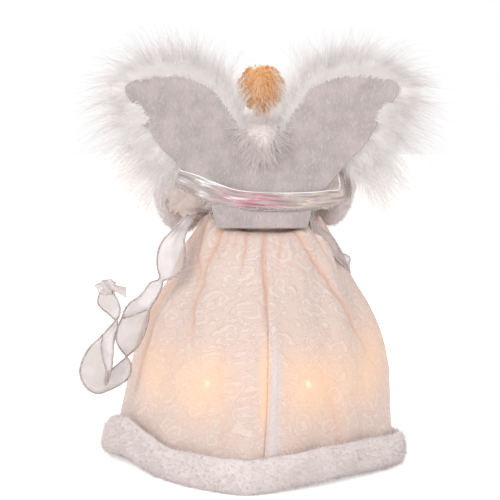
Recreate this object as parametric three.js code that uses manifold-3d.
// Lighted angel tree topper, in millimetres, +Z up. The angel faces -Y, and its back, with the wings, faces +Y.
// The origin is on the surface that it stands on, in the middle of the figure.
// A tall plastic cone carries everything: ten push-in lamps in its wall, the dress over it, and the head on its tip.
import * as THREE from "three";
import { mergeVertices } from "three/addons/utils/BufferGeometryUtils.js";
import Module from "manifold-3d";

const wasm = await Module();
wasm.setup();

// Clearances
const seatGap = 0.3; // between pieces that rest on each other
const clothGap = 0.5; // between a soft piece and what it lies on
const cutOverrun = 4; // how far a cutting tool runs past the wall it cuts
const weldDistance = 1e-4; // points closer than this are one point

// Cone
const coneBaseRadius = 68;
const coneTipRadius = 10.8;
const coneHeight = 220;
const coneWall = 1.2;
const coneRadius = (height) => coneBaseRadius - ((coneBaseRadius - coneTipRadius) * height) / coneHeight;
const rimWidth = 3;
const rimThickness = 1.5;

// Lamps: eight round the skirt's fullest part and two higher up
const lowerLampHeight = 60;
const upperLampHeight = 84;
const lampPairAngles = [-24, 24]; // either side of each corner of the skirt, in degrees
const upperLampAngles = [0, 180];
const socketRadius = 4.2;
const socketFlangeRadius = 5.6;
const socketFlangeThickness = 1.5;
const socketInside = 17; // how far a socket reaches in from the cone's outer face
const socketOutside = 1;
const lampBoreRadius = 2.9;
const lampBoreDepth = 9.5;
const lampPlugRadius = 2.6;
const lampPlugLength = 7.5;
const lampCollarRadius = 3.6;
const lampCollarThickness = 2;
const lampGlassRadius = 2.5;
const lampGlassLength = 11;
const wireRadius = 1.2;
const glandRadius = 3;
const glandLip = 1;
const glandPlace = { angle: 145, height: 12 };

// Skirt
const waistDepth = 56; // below the cone's tip
const waistHeight = coneHeight - waistDepth;
const hemSpread = 30; // from the cone's foot to a corner of the hem
const hemRadius = coneBaseRadius + hemSpread;
const skirtLift = 2; // the cloth ends a little above the floor, inside the fur
const skirtCloth = 1;
const hemSquareness = 1.24; // 2 is round and 1 is a square seen corner on
const hemLean = 7;
const leftCornerForward = 20; // how far the left corner is swung to the front
const skirtTurn = -2; // how far the four corners are turned from the axes, in degrees
const foldDepth = 3.2;
const pleatDepth = 2.2;
const foldCount = 12;
const pleatCount = 16;

// Fur
const hemFurHeight = 24;
const hemFurThickness = 9.5;
const hemFurRise = 4; // at the left corner, where the hem curls up
const cuffRingRadius = 14;
const cuffFurRadius = 7;

// Bodice
const bodiceCloth = 1;
const paddingThickness = 3.04; // at the waist
const bodiceTaper = 4;
const bodiceWaistRadius = coneRadius(waistHeight) + paddingThickness + bodiceCloth + 2 * seatGap;
const bodiceChestRadius = bodiceWaistRadius - bodiceTaper;
const bodiceNeckRadius = 13;
const bodiceRise = 3; // above the cone's tip
const bodiceNeckHeight = coneHeight + bodiceRise;
const shoulderSlope = 13;
const bodiceChestHeight = bodiceNeckHeight - shoulderSlope;
const bandHeight = 8;
const bandThickness = 1;

// Arms
const shoulderReach = 18;
const leftCuffReach = 54;
const rightCuffReach = 44;
const armholeDepth = 5; // from the chest line to the arm wire
const shoulderHeight = bodiceChestHeight - armholeDepth;
const cuffDrop = 15;
const cuffHeight = shoulderHeight - cuffDrop;
const armForward = 14;
const sleeveRadius = 15.5;
const sleeveCloth = 1;
const armWireRadius = 1;
const forearmRadius = 3.6;
const handLength = 15;
const handWidth = 7;
const fingerRadius = 1;

// Head
const headWidth = 23;
const headDepth = 25;
const headHeight = 31;
const neckRadius = 6.2;
const neckLength = 17; // from its foot to the chin
const neckBottom = bodiceNeckHeight + 2 * clothGap;
const chinHeight = neckBottom + neckLength;
const hairThickness = 4.2;
const hairLump = 1;
const pegRadius = 2.4;
const pegLength = 14;

// Wings
const wingHalfSpan = 90;
const wingBottom = 165.5;
const wingHeight = 103.5;
const wingSweep = 12.5; // how far the tips lie behind the middle
const wingCard = 1.6;
const wingFelt = 1.2;
const fluffDepth = 9;
const plumeLength = 26;
const plumeWidth = 8;
const plumeDepth = 5;

// Ribbon
const ribbonWidth = 18;
const ribbonFoldedWidth = 13;
const ribbonWrapWidth = 10;
const ribbonThickness = 0.9;
const tailRootReach = 41;
const tailRootHeight = 181;
const tailRootBack = 25;
const tailReach = 76;
const tailDrop = 128;
const tailDepth = 14;
const knotRadius = 5;

const fullTurn = 2 * Math.PI;
const radians = (degrees) => (degrees * Math.PI) / 180;
const coneTilt = Math.atan((coneBaseRadius - coneTipRadius) / coneHeight);
const flatsAt = (radius, sides) => radius / Math.cos(Math.PI / sides); // corner radius of a bore with this clear radius
const bump = (value, centre, spread) => Math.exp(-(((value - centre) / spread) ** 2));

// A smooth value between the rows of a table of [place share, value share], which never overshoots them.
function readShares(table, place) {
  const last = table.length - 1;
  let i = 0;
  while (i < last - 1 && place > table[i + 1][0]) i += 1;
  const slope = (a, b) => (table[b][1] - table[a][1]) / (table[b][0] - table[a][0]);
  const span = table[i + 1][0] - table[i][0];
  const t = Math.min(1, Math.max(0, (place - table[i][0]) / span));
  const between = (before, after) => (before * after > 0 ? (2 * before * after) / (before + after) : 0);
  const here = slope(i, i + 1);
  const from = i > 0 ? between(slope(i - 1, i), here) : here;
  const to = i < last - 1 ? between(here, slope(i + 1, i + 2)) : here;
  return (
    (2 * t ** 3 - 3 * t ** 2 + 1) * table[i][1] +
    (t ** 3 - 2 * t ** 2 + t) * from * span +
    (3 * t ** 2 - 2 * t ** 3) * table[i + 1][1] +
    (t ** 3 - t ** 2) * to * span
  );
}

// Surfaces. Each helper returns one closed body with its faces pointing out.
function closedGeometry(points, faces) {
  let volume = 0;
  for (const [a, b, c] of faces) volume += points[a].dot(new THREE.Vector3().crossVectors(points[b], points[c]));
  const index = faces.flatMap(([a, b, c]) => (volume < 0 ? [a, c, b] : [a, b, c]));
  const geometry = new THREE.BufferGeometry().setFromPoints(points);
  geometry.setIndex(index);
  geometry.computeVertexNormals();
  return geometry;
}

const quad = (a, b, c, d) => [
  [a, b, c],
  [a, c, d],
];

// A closed section carried round a closed path, as a ring.
function ringSolid(steps, sides, place) {
  const points = [];
  const faces = [];
  const at = (i, j) => (i % steps) * sides + (j % sides);
  for (let i = 0; i < steps; i += 1) for (let j = 0; j < sides; j += 1) points.push(place(i / steps, j / sides));
  for (let i = 0; i < steps; i += 1)
    for (let j = 0; j < sides; j += 1) faces.push(...quad(at(i, j), at(i + 1, j), at(i + 1, j + 1), at(i, j + 1)));
  return closedGeometry(points, faces);
}

// A closed section carried along an open path, with a fan at each end.
function cappedTube(steps, sides, place) {
  const points = [];
  const faces = [];
  const at = (i, j) => i * sides + (j % sides);
  for (let i = 0; i <= steps; i += 1) for (let j = 0; j < sides; j += 1) points.push(place(i / steps, j / sides));
  for (let i = 0; i < steps; i += 1)
    for (let j = 0; j < sides; j += 1) faces.push(...quad(at(i, j), at(i + 1, j), at(i + 1, j + 1), at(i, j + 1)));
  for (const end of [0, steps]) {
    const middle = new THREE.Vector3();
    for (let j = 0; j < sides; j += 1) middle.addScaledVector(points[at(end, j)], 1 / sides);
    points.push(middle);
    const hub = points.length - 1;
    for (let j = 0; j < sides; j += 1)
      faces.push(end === 0 ? [hub, at(end, j), at(end, j + 1)] : [hub, at(end, j + 1), at(end, j)]);
  }
  return closedGeometry(points, faces);
}

// A skin between an outer and an inner surface that go right round and are open at both ends.
function shellSolid(steps, sides, outer, inner) {
  const points = [];
  const faces = [];
  const layer = (steps + 1) * sides;
  const at = (side, i, j) => side * layer + i * sides + (j % sides);
  for (const place of [outer, inner])
    for (let i = 0; i <= steps; i += 1) for (let j = 0; j < sides; j += 1) points.push(place(i / steps, j / sides));
  for (let j = 0; j < sides; j += 1) {
    for (let i = 0; i < steps; i += 1) {
      faces.push(...quad(at(0, i, j), at(0, i + 1, j), at(0, i + 1, j + 1), at(0, i, j + 1)));
      faces.push(...quad(at(1, i, j), at(1, i, j + 1), at(1, i + 1, j + 1), at(1, i + 1, j)));
    }
    faces.push(...quad(at(0, 0, j), at(0, 0, j + 1), at(1, 0, j + 1), at(1, 0, j)));
    faces.push(...quad(at(0, steps, j), at(1, steps, j), at(1, steps, j + 1), at(0, steps, j + 1)));
  }
  return closedGeometry(points, faces);
}

// A board between a front and a back surface, given at the same places across and up.
function slabSolid(across, up, front, back) {
  const points = [];
  const faces = [];
  const columns = across.length;
  const rows = up + 1;
  const at = (side, i, j) => (side * columns + i) * rows + j;
  for (const place of [front, back])
    for (const share of across) for (let j = 0; j < rows; j += 1) points.push(place(share, j / up));
  const last = columns - 1;
  for (let i = 0; i < last; i += 1) {
    for (let j = 0; j < up; j += 1) {
      faces.push(...quad(at(0, i, j), at(0, i + 1, j), at(0, i + 1, j + 1), at(0, i, j + 1)));
      faces.push(...quad(at(1, i, j), at(1, i, j + 1), at(1, i + 1, j + 1), at(1, i + 1, j)));
    }
    faces.push(...quad(at(0, i, 0), at(1, i, 0), at(1, i + 1, 0), at(0, i + 1, 0)));
    faces.push(...quad(at(0, i, up), at(0, i + 1, up), at(1, i + 1, up), at(1, i, up)));
  }
  for (let j = 0; j < up; j += 1) {
    faces.push(...quad(at(0, 0, j), at(0, 0, j + 1), at(1, 0, j + 1), at(1, 0, j)));
    faces.push(...quad(at(0, last, j), at(1, last, j), at(1, last, j + 1), at(0, last, j + 1)));
  }
  return closedGeometry(points, faces);
}

// Joining and cutting
function solidOf(geometry) {
  const plain = geometry.clone();
  plain.deleteAttribute("normal");
  plain.deleteAttribute("uv");
  const merged = mergeVertices(plain, weldDistance);
  const mesh = new wasm.Mesh({
    numProp: 3,
    vertProperties: merged.attributes.position.array,
    triVerts: new Uint32Array(merged.index.array),
  });
  return new wasm.Manifold(mesh);
}

function geometryOf(solid) {
  const mesh = solid.getMesh();
  const geometry = new THREE.BufferGeometry();
  geometry.setAttribute("position", new THREE.BufferAttribute(new Float32Array(mesh.vertProperties), 3));
  geometry.setIndex(new THREE.BufferAttribute(new Uint32Array(mesh.triVerts), 1));
  geometry.computeVertexNormals();
  return geometry;
}

const cut = (geometry, ...tools) =>
  geometryOf(tools.reduce((left, tool) => left.subtract(solidOf(tool)), solidOf(geometry)));
const join = (...pieces) => geometryOf(pieces.map(solidOf).reduce((all, piece) => all.add(piece)));

// Materials
const finish = (color, roughness, metalness = 0) => new THREE.MeshStandardMaterial({ color, roughness, metalness });
const finishes = {
  cone: finish(0xf3efe6, 0.5),
  socket: finish(0xe9e6dc, 0.45),
  lamp: finish(0xffe2a8, 0.1),
  wire: finish(0xf0eee6, 0.4),
  brocade: finish(0xf6ddd2, 0.45),
  satin: finish(0xf4e6df, 0.35),
  padding: finish(0xf2f0ec, 0.95),
  fur: finish(0xeae3e4, 0.95),
  felt: finish(0xcfcbce, 0.95),
  card: finish(0xd8d2c8, 0.8),
  feather: finish(0xe9e2e0, 0.95),
  ribbon: finish(0xe3dade, 0.2),
  porcelain: finish(0xf3d3bf, 0.3),
  hair: finish(0xe0904a, 0.6),
  metalWire: finish(0x9a9a9a, 0.35, 1),
  wood: finish(0xd9b98a, 0.7),
};

const angel = new THREE.Group();
function addPiece(name, geometry, material) {
  const piece = new THREE.Mesh(geometry, material);
  piece.name = name;
  angel.add(piece);
  return piece;
}

// The frame of one lamp: its origin is where its axis leaves the cone, and its +Y points out along the axis.
const lampPlaces = [];
for (const corner of [0, 90, 180, 270])
  for (const offset of lampPairAngles) lampPlaces.push({ angle: corner + offset + skirtTurn, height: lowerLampHeight });
for (const angle of upperLampAngles) lampPlaces.push({ angle: angle + skirtTurn, height: upperLampHeight });
lampPlaces.sort((a, b) => a.angle - b.angle);

function lampFrame({ angle, height }) {
  const frame = new THREE.Matrix4().makeRotationZ(radians(angle));
  frame.multiply(new THREE.Matrix4().makeTranslation(coneRadius(height), 0, height));
  return frame.multiply(new THREE.Matrix4().makeRotationZ(-Math.PI / 2)).multiply(
    new THREE.Matrix4().makeRotationX(coneTilt),
  );
}

const revolve = (profile, segments) =>
  new THREE.LatheGeometry(
    profile.map(([radius, height]) => new THREE.Vector2(radius, height)),
    segments,
  );

// A rod along an axis between two points.
function rod(from, to, radius, sides) {
  const shape = new THREE.CylinderGeometry(radius, radius, from.distanceTo(to), sides);
  const direction = new THREE.Vector3().subVectors(to, from).normalize();
  shape.applyQuaternion(new THREE.Quaternion().setFromUnitVectors(new THREE.Vector3(0, 1, 0), direction));
  const middle = from.clone().add(to).multiplyScalar(0.5);
  return shape.translate(middle.x, middle.y, middle.z);
}

// The line that an arm follows, from the shoulder to the cuff in the middle row and on to the hand: shares of its
// reach, of the way forward and of the drop to the cuff. The right elbow is bent further.
const leftArmShares = [
  [0, 0, 0],
  [0.66, 0.12, -0.43],
  [1, 1, -1.07],
  [1.02, 2, -1.2],
  [0.9, 3.1, -1.05],
];
const rightArmShares = [
  [0, 0, 0],
  [0.62, 0, -0.3],
  [1, 0.55, -0.85],
  [1.02, 1.65, -1.2],
  [0.75, 2.6, -1.1],
];
const cuffShare = 0.5; // how far along that line the cuff lies
function armCurve(side) {
  const reach = (side > 0 ? leftCuffReach : rightCuffReach) - shoulderReach;
  const points = (side > 0 ? leftArmShares : rightArmShares).map(
    ([out, forward, rise]) =>
      new THREE.Vector3(
        side * (shoulderReach + out * reach),
        -forward * armForward,
        shoulderHeight + rise * (shoulderHeight - cuffHeight),
      ),
  );
  return new THREE.CatmullRomCurve3(points);
}

// A point at an angle round a curve, at a radius from it.
function besideCurve(curve, share, angle, radius) {
  const along = curve.getTangent(share);
  const level = new THREE.Vector3(0, 0, 1);
  const across = new THREE.Vector3().crossVectors(along, level).normalize();
  const up = new THREE.Vector3().crossVectors(across, along).normalize();
  return curve
    .getPoint(share)
    .addScaledVector(across, Math.cos(angle) * radius)
    .addScaledVector(up, Math.sin(angle) * radius);
}

// Cone with a standing rim, a hole for each lamp socket, and two small holes for the arm wire
function makeCone() {
  const rimRadius = coneBaseRadius + rimWidth;
  const profile = [
    [coneBaseRadius - coneWall, 0],
    [rimRadius, 0],
    [rimRadius, rimThickness],
    [coneRadius(rimThickness), rimThickness],
    [coneTipRadius, coneHeight],
    [coneTipRadius - coneWall, coneHeight],
    [coneBaseRadius - coneWall, 0],
  ];
  const body = revolve(profile, 32).rotateX(Math.PI / 2);
  const drill = new THREE.CylinderGeometry(
    socketRadius + seatGap,
    socketRadius + seatGap,
    2 * (coneWall + cutOverrun),
    8,
  );
  const holes = lampPlaces.map((place) => drill.clone().applyMatrix4(lampFrame(place)));
  const glandHole = revolve(
    [[0, -cutOverrun], [glandRadius + seatGap, -cutOverrun], [glandRadius + seatGap, cutOverrun], [0, cutOverrun]],
    8,
  );
  return cut(body, ...holes, glandHole.applyMatrix4(lampFrame(glandPlace)), armWireHole());
}

// The straight middle of the arm wire, with room round it, for every wall that it passes through
function armWireHole() {
  const reach = bodiceWaistRadius + cutOverrun;
  return rod(
    new THREE.Vector3(-reach, 0, shoulderHeight),
    new THREE.Vector3(reach, 0, shoulderHeight),
    flatsAt(armWireRadius + 2 * seatGap, 8),
    8,
  );
}

function makeSocket() {
  const back = -socketInside;
  const flangeFront = -coneWall - 3 * seatGap;
  const flangeBack = flangeFront - socketFlangeThickness;
  return revolve(
    [
      [0, back],
      [socketRadius, back],
      [socketRadius, flangeBack],
      [socketFlangeRadius, flangeFront],
      [socketRadius, flangeFront],
      [socketRadius, socketOutside],
      [lampBoreRadius, socketOutside],
      [lampBoreRadius, socketOutside - lampBoreDepth],
      [0, socketOutside - lampBoreDepth],
    ],
    8,
  );
}

// A push-in lamp: plug, collar and a glass envelope that narrows to its sealed tip
function makeLamp() {
  const collar = socketOutside + seatGap;
  const glass = collar + lampCollarThickness;
  return revolve(
    [
      [0, collar - lampPlugLength],
      [lampPlugRadius, collar - lampPlugLength],
      [lampPlugRadius, collar],
      [lampCollarRadius, collar],
      [lampCollarRadius, glass],
      [lampGlassRadius, glass],
      [lampGlassRadius, glass + lampGlassLength * 0.6],
      [lampGlassRadius * 0.6, glass + lampGlassLength * 0.87],
      [0, glass + lampGlassLength],
    ],
    8,
  );
}

// The gland is where the lead leaves the cone: a bush with a lip on either side of the wall
function makeLeadGland() {
  const inside = -coneWall - 3 * seatGap;
  const outside = 2 * seatGap;
  const bore = flatsAt(wireRadius + seatGap, 8);
  return revolve(
    [
      [bore, inside - glandLip],
      [glandRadius + glandLip, inside - glandLip],
      [glandRadius + glandLip, inside],
      [glandRadius, inside],
      [glandRadius, outside],
      [glandRadius + glandLip, outside],
      [glandRadius + glandLip, outside + glandLip],
      [bore, outside + glandLip],
      [bore, inside - glandLip],
    ],
    8,
  );
}

// One wire runs behind every socket and ends in the gland
function makeWire() {
  const behind = (place) => {
    const depth = socketInside + 2 * seatGap + wireRadius;
    return {
      angle: place.angle,
      radius: coneRadius(place.height) - depth * Math.cos(coneTilt),
      height: place.height - depth * Math.sin(coneTilt),
    };
  };
  const inGland = (depth) => ({
    angle: glandPlace.angle,
    radius: coneRadius(glandPlace.height) - depth * Math.cos(coneTilt),
    height: glandPlace.height - depth * Math.sin(coneTilt),
  });
  const first = lampPlaces.findIndex((place) => place.angle > glandPlace.angle);
  const later = lampPlaces.slice(0, first).map((place) => ({ ...place, angle: place.angle + 360 }));
  const round = [...lampPlaces.slice(first), ...later].map(behind);
  const rise = {
    angle: (glandPlace.angle + round[0].angle) / 2,
    radius: round[0].radius,
    height: (glandPlace.height + round[0].height) / 2,
  };
  const stops = [inGland(0), inGland(glandRadius), inGland(2 * glandRadius), rise, ...round];
  const curve = new THREE.CatmullRomCurve3(
    stops.map(({ angle, radius, height }) => {
      const turn = radians(angle);
      return new THREE.Vector3(radius * Math.cos(turn), radius * Math.sin(turn), height);
    }),
  );
  return cappedTube(50, 5, (along, side) => besideCurve(curve, along, side * fullTurn, wireRadius));
}

// Skirt: shares of its height (0 at the waist) against shares of the hem's radius
const skirtShares = [
  [0, 0.268],
  [0.02, 0.43],
  [0.045, 0.47],
  [0.08, 0.51],
  [0.21, 0.62],
  [0.346, 0.755],
  [0.512, 0.865],
  [0.71, 0.945],
  [0.852, 0.98],
  [1, 1],
];
const waistOuterRadius = coneRadius(waistHeight) + 2 * seatGap + skirtCloth;
function skirtRadius(down, angle) {
  const waist = Math.max(0, 1 - down / skirtShares[1][0]);
  const corner = waistOuterRadius * waist + hemRadius * readShares(skirtShares, down) * (1 - waist);
  const squareness = 2 - (2 - hemSquareness) * down ** 0.8;
  const square =
    (Math.abs(Math.cos(angle)) ** squareness + Math.abs(Math.sin(angle)) ** squareness) ** (-1 / squareness);
  const folds = foldDepth * Math.sin(Math.PI * down) ** 0.7 * Math.cos(foldCount * angle + 2.5 * down);
  const pleats = pleatDepth * bump(down, 0.07, 0.09) * Math.cos(pleatCount * angle + 1);
  return corner * square + (1 - waist) * (folds + pleats);
}

function skirtPoint(down, round, inset) {
  const radius = skirtRadius(down, round * fullTurn) - inset;
  const angle = round * fullTurn + radians(skirtTurn);
  const height = waistHeight - down * (waistHeight - skirtLift);
  const swing = leftCornerForward * Math.max(0, Math.cos(angle)) ** 3;
  return new THREE.Vector3(
    radius * Math.cos(angle) + hemLean * down ** 2,
    radius * Math.sin(angle) - swing * down ** 2,
    height,
  );
}

const skirtColumns = 48;
const skirtRows = [0, 0.02, 0.07, 0.15, 0.27, 0.43, 0.62, 0.81, 1];
function makeSkirt() {
  const at = (inset) => (along, round) => skirtPoint(skirtRows[Math.round(along * (skirtRows.length - 1))], round, inset);
  return shellSolid(skirtRows.length - 1, skirtColumns, at(0), at(skirtCloth));
}

// A point at a height on the skirt's flat facets, moved outward by a distance
function skirtFacetPoint(height, round, outward) {
  const down = (waistHeight - height) / (waistHeight - skirtLift);
  const row = Math.max(0, Math.min(skirtRows.length - 2, skirtRows.findIndex((place) => place >= down) - 1));
  const [upper, lower] = [row, row + 1].map((i) => skirtPoint(skirtRows[i], round, -outward));
  return upper.lerp(lower, (down - skirtRows[row]) / (skirtRows[row + 1] - skirtRows[row]));
}

// Fur round the hem, in shares of its thickness and height, with a flat foot
const hemFurShares = [
  [0, 0.1],
  [0.2, 0],
  [0.7, 0],
  [1, 0.32],
  [0.88, 0.8],
  [0.4, 1],
  [0, 0.86],
];
function makeHemFur() {
  return ringSolid(skirtColumns, hemFurShares.length, (round, side) => {
    const [out, up] = hemFurShares[Math.round(side * hemFurShares.length)];
    const angle = round * fullTurn;
    const leftCorner = Math.max(0, Math.cos(angle)) ** 6;
    const height = hemFurRise * leftCorner + up * hemFurHeight;
    const swell = 1 + 0.07 * Math.sin(7 * angle) + 0.05 * Math.cos(11 * angle + 1);
    const clothHeight = Math.max(height, skirtLift);
    return skirtFacetPoint(clothHeight, round, 5 * seatGap + out * hemFurThickness * swell).setZ(height);
  });
}

// Bodice, its padding and the band that covers the waist seam
function bodiceRadius(height) {
  const waist = waistHeight + seatGap;
  if (height <= bodiceChestHeight)
    return bodiceWaistRadius +
      ((bodiceChestRadius - bodiceWaistRadius) * (height - waist)) / (bodiceChestHeight - waist);
  const up = Math.min(1, (height - bodiceChestHeight) / (bodiceNeckHeight - bodiceChestHeight));
  return bodiceChestRadius + (bodiceNeckRadius - bodiceChestRadius) * up ** 1.6;
}

const bodiceSides = 18;
const bodiceHeightShares = [0, 0.38, 0.76, 0.86, 0.94, 1];
const bodiceHeightAt = (along) => {
  const share = bodiceHeightShares[Math.round(along * (bodiceHeightShares.length - 1))];
  return waistHeight + seatGap + share * (bodiceNeckHeight - waistHeight - seatGap);
};
const roundPoint = (radius, round, height) =>
  new THREE.Vector3(radius * Math.cos(round * fullTurn), radius * Math.sin(round * fullTurn), height);

function makeBodice() {
  const steps = bodiceHeightShares.length - 1;
  const at = (inset) => (along, round) =>
    roundPoint(bodiceRadius(bodiceHeightAt(along)) - inset, round, bodiceHeightAt(along));
  return cut(shellSolid(steps, bodiceSides, at(0), at(bodiceCloth)), armWireHole());
}

// The bodice filled in and grown by a gap, to cut what is sewn onto it
function bodiceBlock(grow) {
  const steps = bodiceHeightShares.length - 1;
  return cappedTube(steps, bodiceSides, (along, round) =>
    roundPoint(bodiceRadius(bodiceHeightAt(along)) + grow, round, bodiceHeightAt(along)),
  );
}

function makePadding() {
  const top = bodiceChestHeight - 2 * clothGap;
  const heightAt = (along) => waistHeight + 2 * seatGap + along * (top - waistHeight - 2 * seatGap);
  const inset = bodiceCloth + 2 * seatGap;
  const outer = (along, round) => roundPoint(bodiceRadius(heightAt(along)) - inset, round, heightAt(along));
  const inner = (along, round) =>
    roundPoint(flatsAt(coneRadius(heightAt(along)) + 2 * seatGap, bodiceSides), round, heightAt(along));
  return cut(shellSolid(1, bodiceSides, outer, inner), armWireHole());
}

const bandBottom = waistHeight + 2 * seatGap;
const bandOuter = bodiceWaistRadius + seatGap + bandThickness;
function makeWaistBand() {
  const heightAt = (along) => bandBottom + along * bandHeight;
  return shellSolid(
    1,
    bodiceSides,
    (along, round) => roundPoint(bandOuter, round, heightAt(along)),
    (along, round) => roundPoint(bandOuter - bandThickness, round, heightAt(along)),
  );
}

// Sleeves are full below, gathered at the cuff, and cut back from the bodice where they are sewn on
const sleeveShares = [
  [0, 0.5],
  [0.35, 0.78],
  [0.7, 1],
  [0.9, 0.94],
  [1, 0.74],
];
const sleeveDroop = 0.3; // how much fuller the underside is than the top
function sleeveReach(along, angle) {
  const droop = 1 + sleeveDroop * Math.max(0, -Math.sin(angle)) * Math.sin(Math.PI * along);
  return sleeveRadius * readShares(sleeveShares, along) * droop;
}

function sleeveShape(side, inset) {
  const curve = armCurve(side);
  return (along, round) => {
    const angle = round * fullTurn;
    const ruffle = 1 + 0.03 * Math.cos(8 * angle) * along;
    return besideCurve(curve, along * cuffShare, angle, sleeveReach(along, angle) * ruffle - inset);
  };
}

function makeSleeve(side) {
  return cut(shellSolid(5, 16, sleeveShape(side, 0), sleeveShape(side, sleeveCloth)), bodiceBlock(seatGap));
}

function makeCuff(side) {
  const curve = armCurve(side);
  const along = curve.getTangent(cuffShare);
  const middle = curve.getPoint(cuffShare).addScaledVector(along, cuffFurRadius + seatGap);
  const up = new THREE.Vector3(0, 0, 1);
  const across = new THREE.Vector3().crossVectors(along, up).normalize();
  const rise = new THREE.Vector3().crossVectors(across, along);
  return ringSolid(16, 8, (round, section) => {
    const angle = round * fullTurn;
    const turn = section * fullTurn;
    const swell = 1 + 0.06 * Math.sin(5 * angle);
    const radius = cuffRingRadius + Math.cos(turn) * cuffFurRadius * swell;
    return middle
      .clone()
      .addScaledVector(across, Math.cos(angle) * radius)
      .addScaledVector(rise, Math.sin(angle) * radius)
      .addScaledVector(along, Math.sin(turn) * cuffFurRadius);
  });
}

// Forearm and hand in one moulding, with a blind hole up the middle for the arm wire
const forearmStartShare = 0.36;
const wireSeatShare = 0.5;
const wristShare = 0.8;
const fingerSpread = [
  { across: -0.36, length: 0.78, turn: -7 },
  { across: -0.12, length: 0.95, turn: -2 },
  { across: 0.12, length: 1, turn: 3 },
  { across: 0.36, length: 0.88, turn: 8 },
];
function makeForearm(side) {
  const curve = armCurve(side);
  const forearm = cappedTube(4, 8, (along, round) => {
    const share = forearmStartShare + along * (wristShare - forearmStartShare);
    const taper = 1 - 0.35 * along;
    return besideCurve(curve, share, round * fullTurn, forearmRadius * taper);
  });
  const wrist = curve.getPoint(wristShare);
  const along = curve.getTangent(wristShare);
  const across = new THREE.Vector3(0, 0, 1).cross(along).normalize().multiplyScalar(side);
  const palmLength = handLength * 0.5;
  const palm = new THREE.SphereGeometry(0.5, 8, 5);
  palm.scale(handWidth, palmLength * 1.5, handWidth * 0.45);
  const turnToHand = new THREE.Matrix4().makeBasis(
    across,
    along,
    new THREE.Vector3().crossVectors(across, along),
  );
  const place = new THREE.Matrix4().makeTranslation(
    ...wrist.clone().addScaledVector(along, palmLength * 0.5).toArray(),
  );
  palm.applyMatrix4(turnToHand).applyMatrix4(place);
  const fingers = fingerSpread.map(({ across: offset, length, turn }) => {
    const root = wrist.clone().addScaledVector(along, palmLength * 0.75).addScaledVector(across, offset * handWidth);
    const way = along.clone().applyAxisAngle(new THREE.Vector3().crossVectors(across, along), radians(-turn));
    const reach = handLength * 0.5 * length;
    return rod(root, root.clone().addScaledVector(way, reach), fingerRadius, 5);
  });
  const thumbRoot = wrist.clone().addScaledVector(along, palmLength * 0.3);
  const thumbWay = along.clone().addScaledVector(across, -0.9).normalize();
  const thumb = rod(thumbRoot, thumbRoot.clone().addScaledVector(thumbWay, handWidth * 0.85), fingerRadius * 1.1, 6);
  const bore = cappedTube(5, 6, (share, round) => {
    const from = forearmStartShare - 0.06;
    const place = from + share * (wireSeatShare + 0.03 - from);
    return besideCurve(curve, place, round * fullTurn, flatsAt(armWireRadius + 2 * seatGap, 6));
  });
  return cut(join(forearm, palm, ...fingers, thumb), bore);
}

// One wire goes through the cone from forearm to forearm
function makeArmWire() {
  const left = armCurve(1);
  const right = armCurve(-1);
  const points = [];
  const straight = bodiceWaistRadius + seatGap;
  for (const share of [wireSeatShare, 0.46, 0.4, 0.34, 0.28]) points.push(right.getPoint(share));
  for (const place of [-1, -0.6, 0.6, 1]) points.push(new THREE.Vector3(place * straight, 0, shoulderHeight));
  for (const share of [0.28, 0.34, 0.4, 0.46, wireSeatShare]) points.push(left.getPoint(share));
  const curve = new THREE.CatmullRomCurve3(points);
  return cappedTube(30, 6, (along, round) => besideCurve(curve, along, round * fullTurn, armWireRadius));
}

// Head: height share above the chin against half width, front and back, as shares of half the head's size
const headHalfWidthShares = [
  [0, 0.42],
  [0.08, 0.58],
  [0.2, 0.76],
  [0.35, 0.9],
  [0.55, 1],
  [0.75, 0.95],
  [0.88, 0.76],
  [0.96, 0.48],
  [1, 0.2],
];
const headFrontShares = [
  [0, 0.6],
  [0.08, 0.78],
  [0.2, 0.84],
  [0.35, 0.88],
  [0.55, 0.92],
  [0.75, 0.88],
  [0.88, 0.7],
  [0.96, 0.44],
  [1, 0.18],
];
const headBackShares = [
  [0, 0.34],
  [0.08, 0.46],
  [0.2, 0.68],
  [0.35, 0.86],
  [0.55, 1],
  [0.75, 0.98],
  [0.88, 0.8],
  [0.96, 0.5],
  [1, 0.2],
];

// The nose, its bridge, the lips, the chin and the eye hollows: share of the head's height, angle to the side, share of
// its width that they stand out, and how far they spread up and to the side
const faceShares = [
  [0.36, 0, 0.096, 0.06, 0.2],
  [0.47, 0, 0.04, 0.1, 0.15],
  [0.22, 0, 0.026, 0.05, 0.3],
  [0.05, 0, 0.03, 0.07, 0.4],
  [0.48, 0.48, -0.035, 0.06, 0.22],
];
const headRows = [0.01, 0.06, 0.12, 0.19, 0.24, 0.3, 0.37, 0.43, 0.5, 0.6, 0.7, 0.8, 0.9, 0.96, 1];
function headPoint(row, round, grow) {
  const angle = round * fullTurn; // 0 is the middle of the face
  const side = Math.abs(((round + 0.5) % 1) - 0.5) * fullTurn;
  const face = faceShares.reduce(
    (sum, [height, out, share, tall, wide]) => sum + share * headWidth * bump(row, height, tall) * bump(side, out, wide),
    0,
  );
  const halfWidth = (readShares(headHalfWidthShares, row) * headWidth) / 2 + grow;
  const shares = Math.cos(angle) > 0 ? headFrontShares : headBackShares;
  const halfDepth = (readShares(shares, row) * headDepth) / 2 + grow;
  return new THREE.Vector3(
    halfWidth * Math.sin(angle),
    -(halfDepth + face) * Math.cos(angle),
    chinHeight + row * headHeight + (row > 0.99 ? grow : 0),
  );
}

const skull = (grow) =>
  cappedTube(headRows.length - 1, 16, (along, round) =>
    headPoint(headRows[Math.round(along * (headRows.length - 1))], round, grow),
  );

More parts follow.
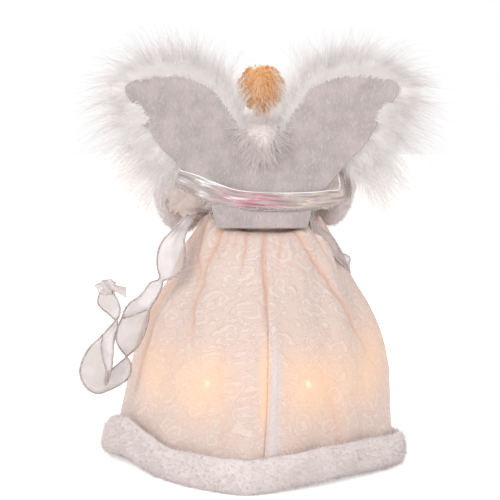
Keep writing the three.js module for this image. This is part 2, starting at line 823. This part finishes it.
function makeHead() {
  const neckTop = chinHeight + headHeight * 0.2;
  const neck = new THREE.CylinderGeometry(neckRadius * 0.9, neckRadius * 1.15, neckTop - neckBottom, 14);
  neck.rotateX(Math.PI / 2).translate(0, 0, (neckTop + neckBottom) / 2);
  const boreRadius = flatsAt(pegRadius + seatGap, 8);
  const bore = new THREE.CylinderGeometry(boreRadius, boreRadius, 2 * (pegLength + seatGap), 8);
  bore.rotateX(Math.PI / 2).translate(0, 0, neckBottom);
  return cut(join(skull(0), neck), bore);
}

// Curled hair: a lumpy cap over the skull, open at the face
const hairBottom = chinHeight + headHeight * 0.14;
function makeHair() {
  const middle = chinHeight + headHeight * 0.58;
  const curls = cappedTube(10, 16, (along, round) => {
    const rise = -0.47 * Math.PI + along * 0.96 * Math.PI;
    const turn = round * fullTurn;
    const lump = 0.55 * Math.sin(5 * turn + 9 * along) + 0.45 * Math.cos(8 * turn - 11 * along);
    const reach = hairThickness + lump * hairLump;
    return new THREE.Vector3(
      (headWidth / 2 + reach) * Math.cos(rise) * Math.sin(turn),
      -(headDepth / 2 + reach) * Math.cos(rise) * Math.cos(turn),
      middle + (headHeight * 0.44 + reach) * Math.sin(rise),
    );
  });
  const face = new THREE.SphereGeometry(1, 12, 8);
  face.scale(headWidth * 0.44, headDepth * 0.55, headHeight * 0.52);
  face.translate(0, -headDepth * 0.55, chinHeight + headHeight * 0.33);
  const under = new THREE.CylinderGeometry(headWidth, headWidth, headHeight, 20);
  under.rotateX(Math.PI / 2).translate(0, 0, hairBottom - headHeight / 2);
  return cut(curls, skull(2 * seatGap), face, under);
}

// A wooden plug in the tip of the cone, with a peg that the head is pushed onto
function makeNeckPlug() {
  const inCone = coneHeight * 0.05;
  const bottom = coneHeight - inCone;
  const fit = (height) => coneRadius(height) - coneWall - 2 * seatGap;
  const shoulder = neckBottom - seatGap;
  return revolve(
    [
      [0, bottom],
      [fit(bottom), bottom],
      [fit(coneHeight), coneHeight],
      [fit(coneHeight), shoulder],
      [pegRadius, shoulder],
      [pegRadius, neckBottom + pegLength],
      [0, neckBottom + pegLength],
    ],
    14,
  ).rotateX(Math.PI / 2);
}

// Wings: shares of the half span against shares of the height above the tab's foot
const wingTopShares = [
  [0, 0.53],
  [0.11, 0.6],
  [0.19, 0.7],
  [0.28, 0.82],
  [0.37, 0.915],
  [0.5, 0.975],
  [0.65, 1],
  [0.79, 0.995],
  [0.91, 0.965],
  [1, 0.915],
];
const wingFootShares = [
  [0, 0],
  [0.325, 0],
  [0.385, 0.17],
  [0.5, 0.285],
  [0.58, 0.37],
  [0.66, 0.455],
  [0.73, 0.505],
  [0.79, 0.58],
  [0.85, 0.67],
  [0.91, 0.755],
  [0.96, 0.81],
  [1, 0.87],
];
const wingColumnShares = [0, 0.11, 0.19, 0.28, 0.325, 0.385, 0.5, 0.58, 0.66, 0.73, 0.79, 0.85, 0.91, 0.96, 1];
const wingColumns = [...wingColumnShares.slice(1).reverse().map((share) => -share), ...wingColumnShares];

const wingPackThickness = wingCard + seatGap + wingFelt;

// How far back the wings' front face lies, resting on the waist band below and on the bodice above
const seatLow = { height: bandBottom + bandHeight, back: bandOuter + seatGap };
const seatHigh = { height: bodiceChestHeight, back: bodiceChestRadius + seatGap };
const wingLean = (seatHigh.back - seatLow.back) / (seatHigh.height - seatLow.height);
function wingBack(across, height) {
  return seatLow.back + wingLean * (height - seatLow.height) + wingSweep * across ** 2;
}

function wingPoint(across, up, behind, grow = 0) {
  const share = Math.abs(across);
  const foot = wingHeight * readShares(wingFootShares, share) - grow;
  const top = wingHeight * readShares(wingTopShares, share) + grow;
  const height = wingBottom + foot + (top - foot) * up;
  const reach = across * (wingHalfSpan + grow);
  return new THREE.Vector3(reach, wingBack(across, height) + behind, height);
}

function makeWingLayer(front, thickness, grow = 0) {
  return slabSolid(
    wingColumns,
    4,
    (across, up) => wingPoint(across, up, front - grow, grow),
    (across, up) => wingPoint(across, up, front + thickness + grow, grow),
  );
}

// One plume: a flat leaf that tapers to a point, given by its root, its way and its length
function plume(root, way, length, lift) {
  const across = new THREE.Vector3(0, 1, 0).cross(way).normalize();
  const through = new THREE.Vector3().crossVectors(way, across);
  const swell = [0.55, 1, 0.8, 0.08];
  return cappedTube(swell.length - 1, 4, (along, round) => {
    const angle = round * fullTurn;
    const size = swell[Math.round(along * (swell.length - 1))];
    return root
      .clone()
      .addScaledVector(way, along * length)
      .addScaledVector(across, (Math.cos(angle) * size * plumeWidth) / 2)
      .addScaledVector(through, (Math.sin(angle) * size * plumeDepth) / 2)
      .add(new THREE.Vector3(0, -lift * along, 0));
  });
}

// The plumes along a wing's edge: share of the half span, on the top or the foot, way in degrees from level, and
// share of the usual length
const plumeRootReach = 0.93; // no plume starts further out than this share of the half span
const plumePlaces = [
  [0.2, "top", 112, 1.15],
  [0.24, "top", 98, 1.3],
  [0.32, "top", 94, 1.1],
  [0.43, "top", 84, 0.85],
  [0.55, "top", 82, 0.85],
  [0.67, "top", 76, 0.92],
  [0.78, "top", 68, 0.95],
  [0.88, "top", 54, 0.95],
  [0.94, "top", 36, 0.85],
  [0.99, "top", 16, 0.75],
  [0.98, "foot", -4, 0.85],
  [0.95, "foot", -20, 1.05],
  [0.91, "foot", -33, 1.3],
  [0.86, "foot", -44, 1.45],
  [0.8, "foot", -53, 1.5],
  [0.73, "foot", -62, 1.45],
  [0.65, "foot", -72, 1.2],
];
function makeWingFeathers(side) {
  const front = -clothGap - fluffDepth;
  const across = [0.19, 0.28, 0.385, 0.5, 0.62, 0.73, 0.83, 0.92, 0.985].map((share) => side * share);
  const puff = slabSolid(
    side > 0 ? across : across.reverse(),
    4,
    (share, up) => {
      const edge = Math.sin(Math.PI * (0.12 + 0.76 * up));
      return wingPoint(share, 0.12 + up * 0.84, -clothGap - fluffDepth * (0.35 + 0.65 * edge));
    },
    (share, up) => wingPoint(share, 0.12 + up * 0.84, -clothGap),
  );
  const plumes = plumePlaces.map(([share, edge, degrees, length]) => {
    const up = edge === "top" ? 0.86 : 0.2;
    const root = wingPoint(side * Math.min(share, plumeRootReach), up, front / 2);
    const angle = radians(degrees);
    const way = new THREE.Vector3(side * Math.cos(angle), 0.1, Math.sin(angle)).normalize();
    return plume(root, way, plumeLength * length + plumeWidth, plumeDepth * 0.5);
  });
  return cut(join(puff, ...plumes), makeWingLayer(0, wingPackThickness, clothGap), bodiceBlock(clothGap));
}

// Feather collar: a soft ring round the neck, with tufts that fall over the middle of the wings
const collarRing = 13.5;
const collarRadius = 8;
const tuftShares = [
  [-0.55, 0.85],
  [-0.2, 1.1],
  [0.15, 1.15],
  [0.5, 0.9],
];
function makeCollar() {
  const height = bodiceNeckHeight + collarRadius + seatGap;
  const ring = ringSolid(18, 8, (round, section) => {
    const angle = round * fullTurn;
    const turn = section * fullTurn;
    const reach = collarRing + Math.cos(turn) * collarRadius * (1 + 0.1 * Math.sin(7 * angle));
    return new THREE.Vector3(
      reach * Math.cos(angle),
      reach * Math.sin(angle),
      height + Math.sin(turn) * collarRadius,
    );
  });
  const overWing = wingBack(0, height) + wingCard + wingFelt + 2 * seatGap;
  const tufts = tuftShares.map(([across, length]) => {
    const root = new THREE.Vector3(across * collarRing, collarRing, height + collarRadius * 0.3);
    const over = new THREE.Vector3(across * collarRing * 1.3, overWing + plumeDepth, height);
    const tip = new THREE.Vector3(
      across * collarRing * 1.6,
      overWing + plumeDepth,
      height - plumeLength * length,
    );
    const curve = new THREE.CatmullRomCurve3([root, over, tip]);
    return cappedTube(4, 5, (along, round) =>
      besideTuft(curve, along, round * fullTurn, (plumeWidth / 2) * (1 - 0.85 * along)),
    );
  });
  const wingSpace = makeWingLayer(0, wingPackThickness, clothGap + seatGap);
  return cut(join(ring, ...tufts), wingSpace, skullNeckSpace(), bodiceBlock(seatGap));
}

function besideTuft(curve, share, angle, radius) {
  const along = curve.getTangent(share);
  const across = new THREE.Vector3(1, 0, 0);
  const up = new THREE.Vector3().crossVectors(across, along).normalize();
  return curve
    .getPoint(share)
    .addScaledVector(across, Math.cos(angle) * radius)
    .addScaledVector(up, Math.sin(angle) * radius * 0.7);
}

function skullNeckSpace() {
  const radius = neckRadius * 1.15 + seatGap;
  const height = chinHeight - neckBottom + 2 * cutOverrun;
  const space = new THREE.CylinderGeometry(radius, radius, height, 14);
  return space.rotateX(Math.PI / 2).translate(0, 0, neckBottom - cutOverrun + height / 2);
}

// A flat ribbon along a smooth line. Each place has a point, a width, the way that the ribbon faces and a turn about
// the line.
function ribbonSolid(places, steps) {
  const curve = new THREE.CatmullRomCurve3(places.map(({ point }) => point));
  const last = places.length - 1;
  const corners = [
    [1, 1],
    [-1, 1],
    [-1, -1],
    [1, -1],
  ];
  return cappedTube(steps, 4, (share, corner) => {
    const spot = Math.min(share * last, last - 1e-9);
    const from = places[Math.floor(spot)];
    const to = places[Math.floor(spot) + 1];
    const ease = (1 - Math.cos((spot % 1) * Math.PI)) / 2;
    const turn = radians(from.turn + (to.turn - from.turn) * ease);
    const width = from.width + (to.width - from.width) * ease;
    const face = from.face.clone().lerp(to.face, ease);
    const along = curve.getTangent(share);
    const level = new THREE.Vector3().crossVectors(along, face).normalize();
    const out = new THREE.Vector3().crossVectors(level, along);
    const across = level.clone().multiplyScalar(Math.cos(turn)).addScaledVector(out, Math.sin(turn));
    const through = new THREE.Vector3().crossVectors(along, across);
    const [a, b] = corners[Math.round(corner * 4)];
    return curve
      .getPoint(share)
      .addScaledVector(across, (a * width) / 2)
      .addScaledVector(through, (b * ribbonThickness) / 2);
  });
}

const backward = new THREE.Vector3(0, 1, 0);

// The folded ribbon behind the wings: shares of the half span, of the wings' height above the waist, the turn, and how
// many times its usual distance it lies behind the felt
const backRibbonShares = [
  [-0.6, 0.2, 24, 1.5],
  [-0.5, 0.175, 12, 1],
  [-0.38, 0.155, 5, 1],
  [-0.2, 0.14, 0, 1],
  [0, 0.142, 0, 1],
  [0.2, 0.15, 0, 1],
  [0.38, 0.175, -5, 1],
  [0.5, 0.21, -12, 1],
  [0.62, 0.235, -24, 1.5],
];
function backRibbonPlaces() {
  const behind =
    wingPackThickness + 2 * clothGap + ribbonThickness / 2 + (Math.abs(wingLean) * ribbonFoldedWidth) / 2;
  return backRibbonShares.map(([across, up, turn, away]) => {
    const height = waistHeight + up * wingHeight;
    const back = wingBack(across, height) + behind * away;
    const point = new THREE.Vector3(across * wingHalfSpan, back, height);
    return { point, width: ribbonFoldedWidth, face: backward, turn };
  });
}

// Each end of the ribbon goes over the sleeve to the front, and the left one back underneath: degrees about the arm
// with 90 on top, and the distance from the sleeve as shares of its radius. The left tail starts with its wrap, and
// the folded ribbon ends with the right one.
const wrapShares = [
  [145, 0.34],
  [95, 0.11],
  [45, 0.15],
  [0, 0.15],
  [-45, 0.15],
  [-90, 0.17],
  [-135, 0.3],
];
const leftWrapShare = 0.66; // how far along the sleeve
const rightWrapShare = 0.62;
const rightWrapCount = 3; // how many of the places above the right end follows
function wrapPlaces(side) {
  const curve = armCurve(side);
  const along = side > 0 ? leftWrapShare : rightWrapShare;
  return wrapShares.map(([degrees, slack]) => {
    const angle = radians(side > 0 ? degrees : 180 - degrees);
    const radius = sleeveReach(along, angle) + slack * sleeveRadius;
    const point = besideCurve(curve, along * cuffShare, angle, radius);
    const face = point.clone().sub(curve.getPoint(along * cuffShare)).normalize();
    return { point, width: ribbonWrapWidth, face, turn: 0 };
  });
}

function makeBackRibbon() {
  return ribbonSolid([...wrapPlaces(-1).slice(0, rightWrapCount).reverse(), ...backRibbonPlaces()], 44);
}

// The left tail curls in the air and ends in a knot: shares of its reach, drop and depth, with its turn in degrees
const leftTailShares = [
  [0.145, 0.1, 0.45, 40],
  [0.251, 0.196, 0.75, 12],
  [0.267, 0.294, 0.75, 0],
  [0.308, 0.385, 0.7, 30],
  [0.38, 0.44, 0.6, 80],
  [0.485, 0.5, 0.5, 118],
  [0.552, 0.592, 0.1, 112],
  [0.59, 0.685, -0.05, 170],
  [0.608, 0.777, -0.05, 165],
  [0.642, 0.846, 0, 112],
  [0.707, 0.923, 0.3, 62],
  [0.797, 0.977, 0.6, 42],
  [0.902, 0.954, 0.9, 36],
  [0.935, 0.873, 1.1, 30],
  [0.86, 0.777, 1.2, 48],
  [0.772, 0.685, 1.15, 74],
  [0.733, 0.602, 1.1, 60],
  [0.772, 0.521, 1.05, 24],
  [0.8, 0.47, 1, 30],
];
function leftTailPlaces() {
  return leftTailShares.map(([out, down, back, turn]) => ({
    point: new THREE.Vector3(
      tailRootReach + out * tailReach,
      tailRootBack + back * tailDepth,
      tailRootHeight - down * tailDrop,
    ),
    width: ribbonWidth,
    face: backward,
    turn,
  }));
}

function makeLeftTail() {
  return ribbonSolid([...wrapPlaces(1), ...leftTailPlaces()], 64);
}

function makeKnot() {
  const end = leftTailPlaces().at(-1).point;
  const knot = new THREE.SphereGeometry(knotRadius, 10, 7);
  knot.scale(1.15, 0.8, 0.75);
  const tail = new THREE.ConeGeometry(knotRadius * 0.8, knotRadius * 3, 8);
  tail.rotateZ(Math.PI / 2).translate(-knotRadius * 1.3, 0, -knotRadius * 0.1);
  return join(knot, tail).translate(end.x - knotRadius * 0.4, end.y, end.z + knotRadius * 1.1);
}

// The right tail comes out from under the wings' tab and lies down the skirt: degrees round the skirt, shares of its
// height, gaps from it as shares of the hem's radius, and the turn in degrees
const rightTailShares = [
  [150, 0.035, 0.07, 0],
  [161, 0.08, 0.07, 0],
  [172, 0.135, 0.065, 0],
  [183, 0.195, 0.06, 5],
  [200, 0.3, 0.055, 12],
  [208, 0.4, 0.05, 0],
  [212, 0.52, 0.045, -15],
  [222, 0.64, 0.045, 0],
  [224, 0.76, 0.055, 15],
];
function makeRightTail() {
  const places = rightTailShares.map(([degrees, down, gap, turn]) => {
    const point = skirtPoint(down, degrees / 360, -gap * hemRadius);
    return { point, width: ribbonFoldedWidth, face: new THREE.Vector3(point.x, point.y, 0).normalize(), turn };
  });
  return ribbonSolid(places, 32);
}

// Assembly
addPiece("inner_cone", makeCone(), finishes.cone);
lampPlaces.forEach((place, i) => {
  const number = String(i + 1).padStart(2, "0");
  const frame = lampFrame(place);
  addPiece(`lamp_socket_${number}`, makeSocket(), finishes.socket).applyMatrix4(frame);
  addPiece(`lamp_${number}`, makeLamp(), finishes.lamp).applyMatrix4(frame);
});
addPiece("lamp_wire", makeWire(), finishes.wire);
addPiece("lead_gland", makeLeadGland(), finishes.socket).applyMatrix4(lampFrame(glandPlace));
addPiece("skirt", makeSkirt(), finishes.brocade);
addPiece("hem_fur", makeHemFur(), finishes.fur);
addPiece("bodice", makeBodice(), finishes.brocade);
addPiece("bodice_padding", makePadding(), finishes.padding);
addPiece("waist_band", makeWaistBand(), finishes.satin);
for (const [name, side] of [["left", 1], ["right", -1]]) {
  addPiece(`${name}_sleeve`, makeSleeve(side), finishes.brocade);
  addPiece(`${name}_cuff_fur`, makeCuff(side), finishes.fur);
  addPiece(`${name}_forearm`, makeForearm(side), finishes.porcelain);
  addPiece(`${name}_wing_feathers`, makeWingFeathers(side), finishes.feather);
}
addPiece("arm_wire", makeArmWire(), finishes.metalWire);
addPiece("neck_plug", makeNeckPlug(), finishes.wood);
addPiece("head", makeHead(), finishes.porcelain);
addPiece("hair", makeHair(), finishes.hair);
addPiece("feather_collar", makeCollar(), finishes.feather);
addPiece("wing_card", makeWingLayer(0, wingCard), finishes.card);
addPiece("wing_felt", makeWingLayer(wingCard + seatGap, wingFelt), finishes.felt);
addPiece("back_ribbon", makeBackRibbon(), finishes.ribbon);
addPiece("left_ribbon_tail", makeLeftTail(), finishes.ribbon);
addPiece("ribbon_knot", makeKnot(), finishes.ribbon);
addPiece("right_ribbon_tail", makeRightTail(), finishes.ribbon);

export default angel;
